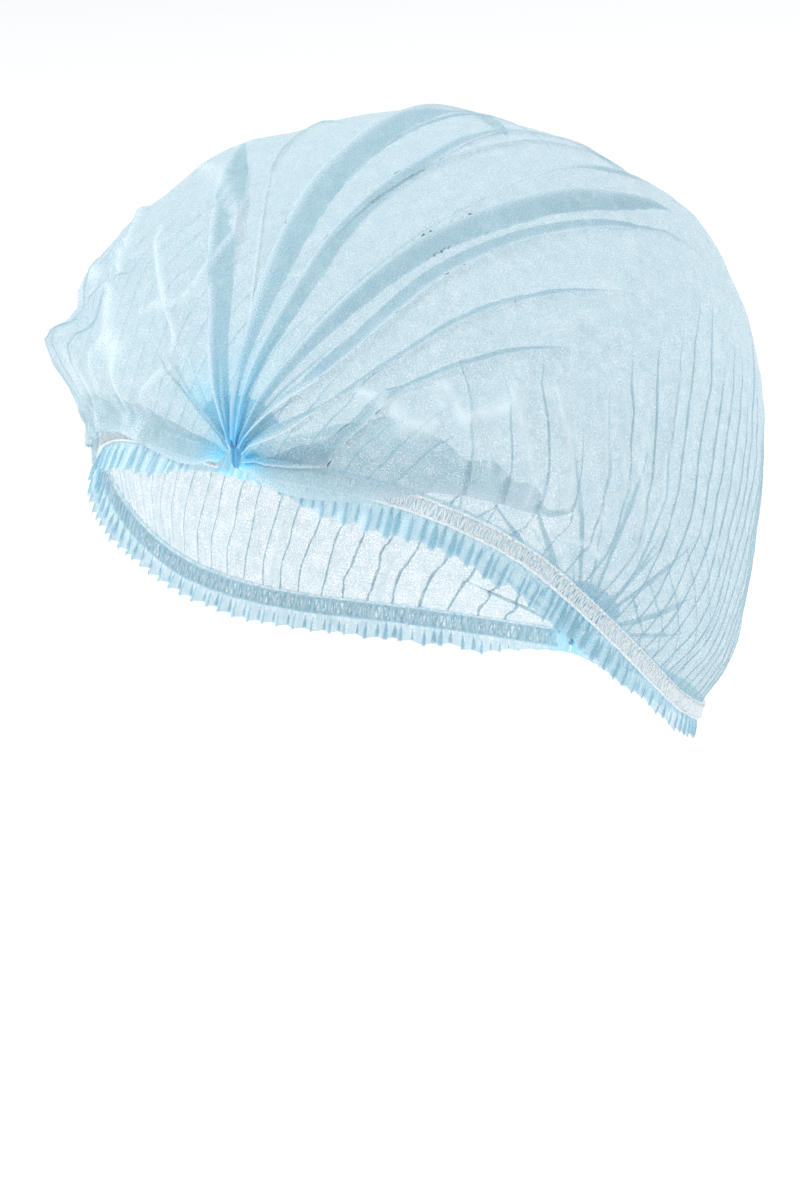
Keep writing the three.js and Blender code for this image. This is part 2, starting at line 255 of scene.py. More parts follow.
BACK_PLEATS = tuple(
    {"crest": (side * near, side * mid, side * far), "overlap": (0.05, 0.02, 0.008),
     "ends": ends, "lie": side * lie}
    for side in (1, -1)
    for near, mid, far, ends, lie in (
        (0.14, 0.13, 0.12, 0.22, 1),
        (0.32, 0.3, 0.28, 0.18, -1),
        (0.5, 0.46, 0.44, 0.2, 1),
        (0.68, 0.62, 0.58, 0.17, -1),
        (0.84, 0.78, 0.74, 0.16, 1),
    )
)

# Loose cloth that hangs from the front gather over the elastic: along, crest and foot, shares across
LEFT_OVERHANG = (
    (0.01, 1.95, 0.97),
    (0.02, 1.8, 0.9),
    (0.03, 1.62, 0.85),
    (0.05, 1.42, 0.81),
    (0.08, 1.26, 0.78),
    (0.11, 1.15, 0.76),
    (0.14, 1.05, 0.77),
    (0.16, 0.995, 0.83),
    (0.18, 0.975, 0.865),
    (0.2, 0.965, 0.875),
    (0.23, 0.95, 0.89),
    (0.26, 0.935, 0.91),
    (0.3, 0.925, 0.92),
)
RIGHT_OVERHANG = (
    (0.01, 1.8, 0.98),
    (0.02, 1.72, 0.96),
    (0.03, 1.56, 0.95),
    (0.05, 1.36, 0.94),
    (0.08, 1.2, 0.93),
    (0.12, 1.11, 0.94),
    (0.2, 1.058, 0.96),
    (0.28, 1.04, 0.97),
    (0.36, 1.0, 0.98),
)
OVERHANG_START = 0.66
OVERHANG_SCALLOP = 0.01
SCALLOP_PITCH = 0.037
OVERHANG_UNEVEN = 0.005
OVERHANG_LEAST = 0.005
OVERHANG_RISE = 1.2
OVERHANG_EXTRA_RISE = 1.6

# Creases of the puff at the wearer's right front, as places along and across
PUFF_CREASES = (
    ((0.26, -0.87), (0.244, -0.838), (0.244, -0.767), (0.262, -0.74), (0.27, -0.68)),
    ((0.25, -0.87), (0.203, -0.858), (0.175, -0.8), (0.156, -0.733), (0.15, -0.69)),
    ((0.24, -0.89), (0.209, -0.883), (0.153, -0.883), (0.113, -0.8), (0.095, -0.79)),
    ((0.2, -0.92), (0.172, -0.912), (0.138, -0.938), (0.094, -0.817), (0.084, -0.671)),
    ((0.144, -0.621), (0.138, -0.554), (0.122, -0.5), (0.097, -0.546), (0.075, -0.658)),
    ((0.23, -0.585), (0.209, -0.6), (0.188, -0.654), (0.159, -0.692), (0.134, -0.704), (0.106, -0.779)),
    ((0.3, -0.53), (0.25, -0.55), (0.213, -0.579), (0.188, -0.617)),
    ((0.22, -0.48), (0.2, -0.5), (0.172, -0.508), (0.153, -0.512), (0.119, -0.504)),
    ((0.27, -0.4), (0.25, -0.387), (0.203, -0.379), (0.172, -0.354), (0.125, -0.483)),
    ((0.22, -0.78), (0.2, -0.74), (0.18, -0.75), (0.165, -0.79)),
    ((0.3, -0.66), (0.27, -0.68), (0.24, -0.66), (0.215, -0.69)),
)

# Creases above the left elastic, and last the scalloped line that leads to them from the front gather
SIDE_CREASES = (
    ((0.2, 0.754), (0.206, 0.837), (0.219, 0.871)),
    ((0.231, 0.633), (0.222, 0.679), (0.231, 0.746), (0.238, 0.804), (0.247, 0.842), (0.281, 0.817)),
    ((0.266, 0.625), (0.259, 0.679), (0.269, 0.729), (0.275, 0.783), (0.284, 0.817)),
    ((0.322, 0.617), (0.306, 0.671), (0.306, 0.738), (0.312, 0.792)),
    ((0.325, 0.6), (0.325, 0.696), (0.325, 0.742), (0.334, 0.804), (0.325, 0.85), (0.325, 0.912)),
    ((0.353, 0.646), (0.344, 0.754), (0.356, 0.792), (0.366, 0.879), (0.356, 0.96)),
    ((0.384, 0.571), (0.388, 0.654), (0.375, 0.725), (0.381, 0.783), (0.369, 0.875), (0.378, 0.96)),
    ((0.316, 0.879), (0.306, 0.85), (0.319, 0.825), (0.334, 0.812)),
    ((0.275, 0.925), (0.291, 0.933), (0.312, 0.929), (0.331, 0.938)),
    ((0.116, 0.625), (0.138, 0.708), (0.159, 0.721), (0.175, 0.662), (0.181, 0.708), (0.206, 0.696),
     (0.231, 0.679)),
)


def ramp(x, low, high):
    s = np.clip((x - low) / (high - low), 0, 1)
    return s * s * (3 - 2 * s)


def bell(x, reach):
    return np.exp(-((x / reach) ** 2))


def curve(keys, values, x):
    """Smooth curve through values, one or several columns of them, at the given keys."""
    keys = np.asarray(keys, float)
    table = np.asarray(values, float).reshape(len(keys), -1)
    slopes = np.empty_like(table)
    slopes[1:-1] = (table[2:] - table[:-2]) / (keys[2:] - keys[:-2])[:, None]
    slopes[0] = (table[1] - table[0]) / (keys[1] - keys[0])
    slopes[-1] = (table[-1] - table[-2]) / (keys[-1] - keys[-2])
    x = np.clip(np.asarray(x, float), keys[0], keys[-1])
    i = np.clip(np.searchsorted(keys, x, side="right") - 1, 0, len(keys) - 2)
    step = (keys[i + 1] - keys[i])[..., None]
    s = (x - keys[i])[..., None] / step
    start = (1 + 2 * s) * (1 - s) ** 2 * table[i] + s * (1 - s) ** 2 * step * slopes[i]
    end = s * s * (3 - 2 * s) * table[i + 1] + s * s * (s - 1) * step * slopes[i + 1]
    out = start + end
    return out[..., 0] if np.ndim(values) == 1 else out


def lattice_noise(x, y, seed):
    """Smooth noise from -1 to 1 with one lattice cell for each unit of x and y."""
    cells = np.random.default_rng(seed).uniform(-1, 1, (64, 64))
    xi = np.floor(x).astype(int)
    yi = np.floor(y).astype(int)
    fx = ramp(x - xi, 0, 1)
    fy = ramp(y - yi, 0, 1)
    low = cells[xi % 64, yi % 64] * (1 - fx) + cells[(xi + 1) % 64, yi % 64] * fx
    high = cells[xi % 64, (yi + 1) % 64] * (1 - fx) + cells[(xi + 1) % 64, (yi + 1) % 64] * fx
    return low * (1 - fy) + high * fy


def line_angle(along):
    return np.radians(curve(LINE_ALONG, LINE_DEGREES, along))


def direction_at(along, angle):
    turn = np.pi * along
    sideways = np.cos(angle)[..., None] * LEFTWARD + np.sin(angle)[..., None] * UPWARD
    return -np.cos(turn)[..., None] * BACKWARD + np.sin(turn)[..., None] * sideways


def ray_to_ellipsoid(direction, half_height):
    semi = np.array([FORM_SEMI_AXES[0], FORM_SEMI_AXES[1], half_height])
    ray = direction / semi
    centre = FORM_CENTRE / semi
    a = (ray * ray).sum(-1)
    b = (ray * centre).sum(-1)
    return (b + np.sqrt(b * b - a * (centre @ centre - 1))) / a


def form_radius(direction):
    upper = ray_to_ellipsoid(direction, FORM_SEMI_AXES[2])
    lower = ray_to_ellipsoid(direction, FORM_TAPER)
    return np.where(direction[..., 2] * upper >= FORM_CENTRE[2], upper, lower)


def form_normal(point):
    half_height = np.where(point[..., 2] >= FORM_CENTRE[2], FORM_SEMI_AXES[2], FORM_TAPER)
    semi = np.stack([np.full_like(half_height, FORM_SEMI_AXES[0]),
                     np.full_like(half_height, FORM_SEMI_AXES[1]), half_height], -1)
    normal = (point - FORM_CENTRE) / semi ** 2
    return normal / np.linalg.norm(normal, axis=-1, keepdims=True)


def edge_share(along):
    angle = line_angle(along)
    reach = form_radius(direction_at(along, angle)) * np.sin(np.pi * along)
    return 1 - EDGE_HEIGHT / ((np.pi / 2 - angle) * np.maximum(reach, 6.0))


def stand_off(along, across):
    rows = curve(STAND_OFF_ALONG, STAND_OFF, along)
    weights = curve(STAND_OFF_ACROSS, np.eye(len(STAND_OFF_ACROSS)), np.abs(across))
    return FULLNESS * (rows * weights).sum(-1)


def swell(along, across):
    rise = np.zeros_like(along)
    for at_along, at_across, share, reach_along, reach_across in SWELLS:
        rise += share * bell(along - at_along, reach_along) * bell(across - at_across, reach_across)
    return PUFF_RISE * rise * ramp(1 - np.abs(across), 0, 0.1)


def cloth_point(along, across, lift):
    quarter = (np.pi / 2 - line_angle(along)) * edge_share(along)
    direction = direction_at(along, np.pi / 2 - across * quarter)
    radius = form_radius(direction) + stand_off(along, across) + swell(along, across) + lift
    return direction * radius[..., None]


def knife_fold(x, start, end, crest, foot):
    """Sideways shift and height of cloth that runs to a crest, back under it to a foot, and on."""
    q = np.clip((x - start) / (end - start), 0, 1)
    out = start + (crest - start) * q / 0.4
    out = np.where(q > 0.4, crest + (foot - crest) * (q - 0.4) / 0.2, out)
    out = np.where(q > 0.6, foot + (end - foot) * (q - 0.6) / 0.4, out)
    height = np.interp(q, (0, 0.2, 0.38, 0.42, 0.5, 0.6, 0.8, 1), (0, 0.45, 1, 1, 0.66, 0.3, 0.08, 0))
    return out - (start + (end - start) * q), height, bell(q - 0.4, 0.05) * (x > start) * (x < end)


def pleat_strength(from_end, pleat):
    """1 where the pleat is fully folded and 0 past its ends."""
    strength = 1 - ramp(from_end, pleat["ends"] - PLEAT_FADE, pleat["ends"])
    if "starts" in pleat:
        strength = strength * ramp(from_end, pleat["starts"], pleat["starts"] + PLEAT_OPENING)
    return strength


def pleat_shift(from_end, across, pleat):
    """One pleat of the crown: shift across, height in mm and how sharply its crest is pressed, which also
    sets the painted highlight on it.
    """
    crest = curve(STATIONS, pleat["crest"], from_end)
    overlap = curve(STATIONS, pleat["overlap"], from_end)
    strength = pleat_strength(from_end, pleat)
    lie = pleat["lie"]
    reach = np.maximum(PLEAT_REACH * overlap, PLEAT_LEAST_REACH)
    shift, height, pressed_and_highlit = knife_fold(lie * across, lie * crest - reach, lie * crest + reach,
                                        lie * crest, lie * crest - overlap)
    tall = PLEAT_LEAST_RISE + PLEAT_RISE_PER_SHARE * np.minimum(overlap, PLEAT_WIDEST)
    return lie * shift * strength, height * tall * np.sqrt(strength), pressed_and_highlit * strength


def spaced(low, high, count, crowded, crowding):
    """Values from low to high that crowd together round each of the crowded places."""
    weight, reach = crowding
    fine = np.linspace(low, high, 8001)
    density = 1 + weight * sum(bell(fine - place, reach) for place in crowded)
    total = np.concatenate([[0], np.cumsum((density[1:] + density[:-1]) / 2)])
    return np.interp(np.linspace(0, total[-1], count), total, fine)


def crown_columns(rows):
    """Shares across of each row's columns, which crowd round the pleats where they cross the row."""
    fine = np.linspace(-1, 1, 4001)
    density = np.ones((len(rows), len(fine)))
    weight, reach = EDGE_CROWDING
    for place in CROWDED_COLUMNS:
        density += weight * bell(fine - place, reach)
    weight, reach = PLEAT_CROWDING
    for pleats, from_end in ((FRONT_PLEATS + TOP_PLEATS, rows), (BACK_PLEATS, 1 - rows)):
        for pleat in pleats:
            crest = curve(STATIONS, pleat["crest"], from_end)[:, None]
            density += weight * bell(fine - crest, reach) * pleat_strength(from_end, pleat)[:, None]
    total = np.cumsum((density[:, 1:] + density[:, :-1]) / 2, axis=1)
    total = np.concatenate([np.zeros((len(rows), 1)), total], axis=1)
    shares = np.linspace(0, 1, CROWN_COLUMNS)
    return np.array([np.interp(shares * row[-1], row, fine) for row in total])


def overhang_shift(along, across, side, table):
    """The fold of loose cloth over an elastic: shift across, height in mm, pressed crest that also sets a
    painted highlight, looseness.
    """
    stations, crests, feet = zip(*table)
    crest = curve(stations, crests, along) + OVERHANG_UNEVEN * lattice_noise(along * 50, 0 * along, 12)
    wave = OVERHANG_SCALLOP * np.cos(2 * np.pi * along / SCALLOP_PITCH) * ramp(along, 0.05, 0.1)
    foot = np.minimum(curve(stations, feet, along) + wave, crest - OVERHANG_LEAST)
    last = stations[-1]
    strength = 1 - ramp(along, last - 0.04, last + 0.03)
    shift, height, pressed_and_highlit = knife_fold(side * across, OVERHANG_START, 1.0, crest, foot)
    tall = OVERHANG_RISE + OVERHANG_EXTRA_RISE * ramp(crest, 0.98, 1.1)
    loose = ramp(side * across, OVERHANG_START, foot) * strength
    return side * shift * strength, height * tall * strength, 0.8 * pressed_and_highlit * strength, loose


def spread(along):
    """Length in mm of one share across, at a place along."""
    quarter = np.pi / 2 - line_angle(along)
    return quarter * form_radius(direction_at(along, np.pi / 4 + 0 * along)) * np.sin(np.pi * along)


def crease_profile(along, across, places):
    """Ridge height from 0 to 1 and pressed line of one crease through a list of places; the pressed line is
    also painted as a highlight.
    """
    scale = np.pi * GATHER_SPAN
    x = along * scale
    y = across * spread(along)
    marks = np.array(places)
    mark_x = marks[:, 0] * scale
    mark_y = marks[:, 1] * spread(marks[:, 0])
    nearest = np.full_like(x, 1e9)
    for k in range(len(marks) - 1):
        step = np.array([mark_x[k + 1] - mark_x[k], mark_y[k + 1] - mark_y[k]])
        share = ((x - mark_x[k]) * step[0] + (y - mark_y[k]) * step[1]) / (step @ step)
        share = np.clip(share, 0, 1)
        gap = np.hypot(x - mark_x[k] - share * step[0], y - mark_y[k] - share * step[1])
        nearest = np.minimum(nearest, gap)
    return 0.65 * bell(nearest, 1.2) + 0.35 * bell(nearest, 4.0), bell(nearest, 0.75)


def tuck_places():
    """Shares along where a tuck rises from the elastics, closer together further back."""
    rng = np.random.default_rng(11)
    places = [TUCK_FIRST]
    while places[-1] < TUCK_LAST:
        pitch = TUCK_PITCH - TUCK_PITCH_DROP * float(ramp(places[-1], 0.28, 0.36))
        places.append(places[-1] + pitch * rng.uniform(0.86, 1.14))
    return np.array(places)


class CrownCloth:
    """The crown's flat sheet as a grid of places, and what its folds add to it.

    The shifts are shares along and across, the lift is in mm, and the two paints run from 0 to 1. The
    pressed paint makes crests denser and also paints a highlight on them.
    """

    def __init__(self, along, across):
        self.along = along
        self.across = across
        self.side = np.abs(across)
        self.edge = ramp(1 - self.side, 0, 0.08)
        self.shift_along = np.zeros_like(along)
        self.shift_across = np.zeros_like(along)
        self.lift = np.zeros_like(along)
        self.pressed_and_highlit = np.zeros_like(along)
        self.loose = np.zeros_like(along)

    def press_and_highlight(self, amount):
        # Pressed crests hide more of the view, and the colour paints a highlight on them
        self.pressed_and_highlit = np.maximum(self.pressed_and_highlit, amount)


def add_pleats(cloth):
    """The fans of long pleats from both gathered ends."""
    across = cloth.across + PLEAT_WANDER * lattice_noise(cloth.along * 16, cloth.across * 5, 3)
    for pleats, from_end in ((FRONT_PLEATS + TOP_PLEATS, cloth.along), (BACK_PLEATS, 1 - cloth.along)):
        for pleat in pleats:
            shift, height, sharp_and_highlit = pleat_shift(from_end, across, pleat)
            cloth.shift_across += shift
            cloth.lift += height
            cloth.press_and_highlight(sharp_and_highlit)


def add_packing_folds(cloth):
    """Short folds that fan out of each gathered end, laid either way by a seeded choice."""
    rng = np.random.default_rng(5)
    for from_end in (cloth.along, 1 - cloth.along):
        for centre in np.linspace(-PACKING_SPAN, PACKING_SPAN, PACKING_COUNT):
            ends = rng.uniform(*PACKING_ENDS)
            lie = rng.choice((-1, 1))
            crest = lie * (centre + rng.uniform(-PACKING_STRAY, PACKING_STRAY))
            strength = 1 - ramp(from_end, 0.035, ends)
            foot = crest - PACKING_REACH
            shift, height, sharp_and_highlit = knife_fold(lie * cloth.across, foot, crest + PACKING_REACH, crest, foot)
            cloth.shift_across += lie * shift * strength
            cloth.lift += PACKING_RISE * height * strength
            cloth.press_and_highlight(0.8 * sharp_and_highlit * strength)


def add_overhangs(cloth):
    """Loose cloth over the elastics beside the front gather, folded from the pleated cloth."""
    for side, table in ((1, LEFT_OVERHANG), (-1, RIGHT_OVERHANG)):
        pleated = cloth.across + cloth.shift_across
        shift, height, sharp_and_highlit, loose = overhang_shift(cloth.along, pleated, side, table)
        cloth.shift_across += shift
        cloth.lift += height
        cloth.press_and_highlight(sharp_and_highlit)
        cloth.loose = np.maximum(cloth.loose, loose)


def add_tucks(cloth, places):
    """Tall tucks that rise from the elastics, each to its own height."""
    for n, place in enumerate(places):
        uneven = TUCK_TOP_UNEVEN * lattice_noise(np.array(n * 1.7), np.array(3.5), 7)
        top = TUCK_TOP - TUCK_TOP_DROP * float(ramp(place, 0.29, 0.4)) + uneven
        grown = ramp(cloth.side, top, top + TUCK_FADE)
        sway = TUCK_SWAY - TUCK_SWAY_DROP * float(ramp(place, 0.3, 0.4))
        wobble = sway * lattice_noise(cloth.across * 18, 0 * cloth.along + n * 2.3, 9)
        shift, height, sharp_and_highlit = knife_fold(cloth.along + wobble, place - TUCK_REACH, place + TUCK_REACH,
                                          place, place - TUCK_OVERLAP)
        cloth.shift_along += shift * grown
        raised = grown * (1 - LOOSE_FLATNESS * cloth.loose)
        trough = bell(cloth.along - place - 0.016, 0.01)
        cloth.lift += TUCK_RISE * (height - trough) * raised
        cloth.press_and_highlight(0.85 * sharp_and_highlit * raised)


def add_short_tucks(cloth, places):
    """Short tucks near the lower edge, halfway between the tall ones."""
    grown = ramp(cloth.side, 0.72, 0.92) * (1 - LOOSE_FLATNESS * cloth.loose)
    for place in (places[:-1] + places[1:]) / 2:
        shift, height, sharp_and_highlit = knife_fold(cloth.along, place - SHORT_TUCK_REACH, place + SHORT_TUCK_REACH,
                                          place, place - SHORT_TUCK_OVERLAP)
        cloth.shift_along += shift * grown
        cloth.lift += SHORT_TUCK_RISE * height * grown
        cloth.press_and_highlight(0.7 * sharp_and_highlit * grown)


def add_slope(cloth):
    """The backward lean of the tucks towards the crown line, and small kinks in them."""
    above = np.maximum(0.62 - np.maximum(cloth.side, 0.34), 0)
    lean = TUCK_LEAN * above ** 1.6 * bell(cloth.along - 0.42, 0.18)
    kinks = KINK_REACH * lattice_noise(cloth.along * 9, cloth.across * 9 + 5, 8)
    kinks *= ramp(1 - cloth.side, 0, 0.12)
    cloth.shift_along += (lean + kinks) * (1 - 0.6 * ramp(cloth.side, 0.95, 1))


def add_creases(cloth):
    """The creases that are placed one by one, in the puff and above the left elastic."""
    for rise, creases in ((PUFF_CREASE_RISE, PUFF_CREASES), (SIDE_CREASE_RISE, SIDE_CREASES)):
        for crease in creases:
            ridge, line = crease_profile(cloth.along, cloth.across, crease)
            cloth.lift += rise * ridge * cloth.edge
            # Crease lines get the pressed paint: denser, with a painted highlight
            cloth.press_and_highlight(line)


def add_crumples(cloth):
    """Seeded crumples: ridges in the puff, smocking above the left elastic, a fine relief all over."""
    puff = bell(cloth.along - PUFF_PLACE[0], 0.14) * bell(cloth.across - PUFF_PLACE[1], 0.28)
    ridged = 1 - 2 * np.abs(lattice_noise(cloth.along * 22, cloth.across * 11, 21))
    smocked = bell(cloth.along - SMOCKED_PLACE[0], 0.12) * bell(cloth.across - SMOCKED_PLACE[1], 0.22)
    relief = PUFF_RIDGE_RISE * puff * ridged
    relief += SMOCKING_RISE * smocked * lattice_noise(cloth.along * 48, cloth.across * 14, 24)
    for rise, cells_along, cells_across, seed in ((0.4, 24, 13, 22), (0.16, 60, 34, 23)):
        relief += rise * lattice_noise(cloth.along * cells_along, cloth.across * cells_across, seed)
    cloth.lift += relief * cloth.edge
    # Ridge tops of the puff get the pressed paint: denser, with a painted highlight
    cloth.press_and_highlight(0.7 * puff * ramp(ridged, 0.86, 0.98) * cloth.edge)


def crown_packing(cloth, along):
    """How densely the cloth is packed: a wide fan at the front gather, a small patch at the back one."""
    from_knot = np.minimum(along, 1 - along) * np.pi * GATHER_SPAN
    knot = bell(from_knot, 8.0)
    wedge = bell(cloth.across + 0.04, 0.3) * bell(from_knot, 21.0)
    lobe = bell(cloth.across + 0.5, 0.14) * bell(from_knot - 15.0, 7.0)
    front = knot + 0.85 * wedge + 0.5 * lobe
    return np.clip(np.where(cloth.along < 0.5, front, 0.5 * knot), 0, 1)


def grid_mesh(name, points, paint, bake_uv, cloth_uv):
    """One sheet object from a grid of points in mm, with its paint and its two UV maps."""
    rows, columns = points.shape[:2]
    index = np.arange(rows * columns).reshape(rows, columns)
    quads = np.stack([index[:-1, :-1], index[:-1, 1:], index[1:, 1:], index[1:, :-1]], -1).reshape(-1, 4)
    mesh = bpy.data.meshes.new(name)
    mesh.vertices.add(rows * columns)
    mesh.vertices.foreach_set("co", (points.reshape(-1, 3) * MM).ravel())
    mesh.loops.add(quads.size)
    mesh.loops.foreach_set("vertex_index", quads.ravel())
    mesh.polygons.add(len(quads))
    mesh.polygons.foreach_set("loop_start", np.arange(0, quads.size, 4))
    mesh.update(calc_edges=True)
    mesh.validate()
    for map_name, values in (("OFBake", bake_uv), ("Cloth", cloth_uv)):
        layer = mesh.uv_layers.new(name=map_name)
        layer.data.foreach_set("uv", values.reshape(-1, 2)[quads.ravel()].ravel())
    for key, values in paint.items():
        attribute = mesh.attributes.new(key, "FLOAT", "POINT")
        attribute.data.foreach_set("value", values.ravel().astype(np.float32))
    mesh.polygons.foreach_set("use_smooth", np.ones(len(quads), bool))
    mesh.set_sharp_from_angle(angle=FOLD_ANGLE)
    piece = bpy.data.objects.new(name, mesh)
    bpy.context.scene.collection.objects.link(piece)
    return piece


def distances(points, axis):
    """Distance along the cloth from its first row or column, in mm."""
    steps = np.linalg.norm(np.diff(points, axis=axis), axis=-1)
    total = np.cumsum(steps, axis=axis)
    return np.concatenate([np.zeros_like(np.take(total, [0], axis=axis)), total], axis=axis)


def bake_map(across, along, margin=0.004):
    """The first UV map, from shares of 0 to 1, with a margin round its edge."""
    return margin + (1 - 2 * margin) * np.stack([across, along], -1)


def cloth_map(points):
    """The second UV map, in metres along the cloth."""
    return np.stack([distances(points, 1), distances(points, 0)], -1) * MM


def make_crown():
    """The crown as one sheet, with all its folds."""
    places = tuck_places()
    rows = spaced(CROWN_START, 1 - CROWN_START, CROWN_ROWS, [*places, *CROWDED_ROWS], ROW_CROWDING)
    across = crown_columns(rows)
    cloth = CrownCloth(np.broadcast_to(rows[:, None], across.shape), across)
    add_pleats(cloth)
    add_packing_folds(cloth)
    add_overhangs(cloth)
    add_tucks(cloth, places)
    add_short_tucks(cloth, places)
    add_slope(cloth)
    add_creases(cloth)
    add_crumples(cloth)
    along = np.clip(cloth.along + cloth.shift_along, CROWN_START / 2, 1 - CROWN_START / 2)
    points = cloth_point(along, cloth.across + cloth.shift_across, cloth.lift)
    paint = {"packed": crown_packing(cloth, along), "pressed_and_highlit": cloth.pressed_and_highlit, "loose": cloth.loose}
    bake_uv = bake_map((cloth.across + 1) / 2, cloth.along)
    return grid_mesh("cap_crown", points, paint, bake_uv, cloth_map(points))


def line_point(along):
    """Points on the left elastic's middle line."""
    direction = direction_at(along, line_angle(along))
    radius = form_radius(direction) + stand_off(along, np.ones_like(along))
    return direction * radius[..., None]


def line_frames():
    """A fine table of the elastic's middle line: share along, distance, place, down and out."""
    along = np.linspace(0, 1, 1201)
    points = line_point(along)
    tangent = np.gradient(points, axis=0)
    length = np.concatenate([[0], np.cumsum(np.linalg.norm(np.diff(points, axis=0), axis=-1))])
    tangent /= np.linalg.norm(tangent, axis=-1, keepdims=True)
    out = form_normal(points)
    down = np.cross(out, tangent)
    down *= -np.sign(down @ UPWARD)[:, None]
    down /= np.linalg.norm(down, axis=-1, keepdims=True)
    return along, length, points, down, out


LINE = line_frames()
LINE_LENGTH = LINE[1][-1]


def beside_line(distance, side, below, out):
    """Places beside an elastic's line: distance along it, below it on the cloth and out from it."""
    along, length, points, down, outward = LINE

    def at(values):
        return np.stack([np.interp(distance, length, values[:, k]) for k in range(3)], -1)

    place = at(points) + at(down) * below[..., None] + at(outward) * out[..., None]
    return place * np.array([side, 1, 1])


def along_of(distance):
    return np.interp(distance, LINE[1], LINE[0])


def make_ruffle(name, side):
    """The frilled cloth below an elastic, folded back and forth, with the cloth behind the elastic."""
    run = LINE_LENGTH - 2 * RUFFLE_NECK
    lobes = round(run / RUFFLE_PITCH)
    pitch = run / lobes
    lobe, down = np.meshgrid(np.linspace(0, lobes, lobes * RUFFLE_STEPS + 1),
                             np.linspace(0, 1, RUFFLE_ROWS + 1), indexing="ij")
    seed = 40 if side > 0 else 60
    uneven = lattice_noise(lobe * 0.9, down * 1.2, seed)
    uneven_depth = lattice_noise(lobe * 0.7, 0 * lobe, seed + 1)
    slow = lattice_noise(lobe * 0.5, 0 * lobe, seed + 2)
    turn = 2 * np.pi * (lobe + 0.16 * uneven)

    from_knot = np.minimum(pitch * lobe, run - pitch * lobe)
    behind = ramp(along_of(RUFFLE_NECK + pitch * lobe), 0.4, 0.52)
    grown = (0.12 + 0.88 * ramp(from_knot, 2, RUFFLE_FULL_FROM)) * (1 - RUFFLE_BACK_LOSS * behind)
    depth = RUFFLE_DEPTH * (1 + 0.17 * np.sin(turn) + 0.14 * uneven_depth) * grown
    below = RUFFLE_TOP + down * (depth + EDGE_HEIGHT - RUFFLE_TOP)
    free = ramp(below, ELASTIC_WIDTH / 2 - 1.0, EDGE_HEIGHT + 3.0)

    loop = (0.4 + 0.95 * free + 0.35 * slow) * (0.5 + 0.5 * grown)
    slant = 1.2 * down * (1 if side < 0 else 0.3) * grown
    distance = np.clip(RUFFLE_NECK + pitch * lobe + loop * np.sin(2 * turn) + slant, 0.1, LINE_LENGTH - 0.1)
    tall = 0.22 + (0.95 + 0.35 * uneven) * free * grown
    out = -0.75 + tall * np.sin(turn) + (0.9 * down * down + 0.4 * free) * grown
    points = beside_line(distance, side, below, out)

    rim = ramp(down, 0.93, 1)
    # Painted highlight on the fold crests through the pressed paint; the free edge is also made denser and
    # whiter
    creased_and_highlit = np.maximum(0.7 * ramp(np.cos(2 * turn), 0.8, 1), 0.5 * rim)
    packed = 0.16 + 0.2 * ramp(np.cos(2 * turn), 0, 1) + 0.7 * bell(from_knot, 6.0)
    paint = {"packed": np.clip(packed, 0, 1), "pressed_and_highlit": creased_and_highlit}
    return grid_mesh(name, points, paint, bake_map(down, lobe / lobes), cloth_map(points))


def tube_arrays(path, radius, sides):
    """Vertices and quads of a closed-ended tube along a path in mm."""
    tangent = np.gradient(path, axis=0)
    tangent /= np.linalg.norm(tangent, axis=-1, keepdims=True)
    reference = form_normal(path)
    across = np.cross(tangent, reference)
    across /= np.linalg.norm(across, axis=-1, keepdims=True)
    other = np.cross(across, tangent)
    angle = 2 * np.pi * np.arange(sides) / sides
    ring = np.cos(angle)[None, :, None] * across[:, None] + np.sin(angle)[None, :, None] * other[:, None]
    thickness = np.broadcast_to(np.asarray(radius, float), (len(path),))
    points = path[:, None] + ring * thickness[:, None, None]
    count = len(path)
    index = np.arange(count * sides).reshape(count, sides)
    beside = np.roll(index, -1, axis=1)
    quads = np.stack([index[:-1], beside[:-1], beside[1:], index[1:]], -1).reshape(-1, 4)
    faces = quads.tolist() + [index[0, ::-1].tolist(), index[-1].tolist()]
    return points.reshape(-1, 3), faces


def join_tubes(name, tubes):
    """One object from several tubes."""
    points = []
    faces = []
    start = 0
    for tube_points, tube_faces in tubes:
        points.append(tube_points)
        faces.extend([[start + i for i in face] for face in tube_faces])
        start += len(tube_points)
    mesh = bpy.data.meshes.new(name)
    mesh.from_pydata((np.concatenate(points) * MM).tolist(), [], faces)
    mesh.polygons.foreach_set("use_smooth", np.ones(len(mesh.polygons), bool))
    piece = bpy.data.objects.new(name, mesh)
    bpy.context.scene.collection.objects.link(piece)
    return piece


def make_elastic(name, side):
    """Two round rails joined by zigzags of thread."""
    last = LINE_LENGTH - ELASTIC_START
    distance = np.linspace(ELASTIC_START, last, RAIL_STEPS)
    rail = ELASTIC_WIDTH / 2 - RAIL_INSET
    seed = 80 if side > 0 else 90
    tubes = []
    for row, place in enumerate((-rail, rail)):
        wave = 0.1 * lattice_noise(distance * 0.35, 0 * distance + row, seed)
        path = beside_line(distance, side, place + wave, 0.25 + 0 * distance)
        lumpy = RAIL_RADIUS + 0.06 * np.sin(distance * 5.2)
        tubes.append(tube_arrays(path, lumpy, 8))
    for strand, (pitch, start) in enumerate(THREADS):
        turns = int((last - ELASTIC_START) / pitch)
        turn = np.linspace(0, turns, turns * THREAD_STEPS + 1)
        sway = np.interp((turn + start) % 1, (0, 0.42, 0.5, 0.92, 1), (-1, 1, 1, -1, -1))
        run = ELASTIC_START + pitch * turn + 0.25 * lattice_noise(turn * 1.3, 0 * turn + strand, seed + 5)
        height = 0.38 + 0.22 * np.abs(sway) + 0.1 * strand
        path = beside_line(run, side, rail * sway, height)
        tubes.append(tube_arrays(path, THREAD_RADIUS, 4))
    return join_tubes(name, tubes)


def near_end(end, up, left):
    direction = end * GATHER_SPAN * BACKWARD + up[..., None] * UPWARD + left[..., None] * LEFTWARD
    return direction / np.linalg.norm(direction, axis=-1, keepdims=True)


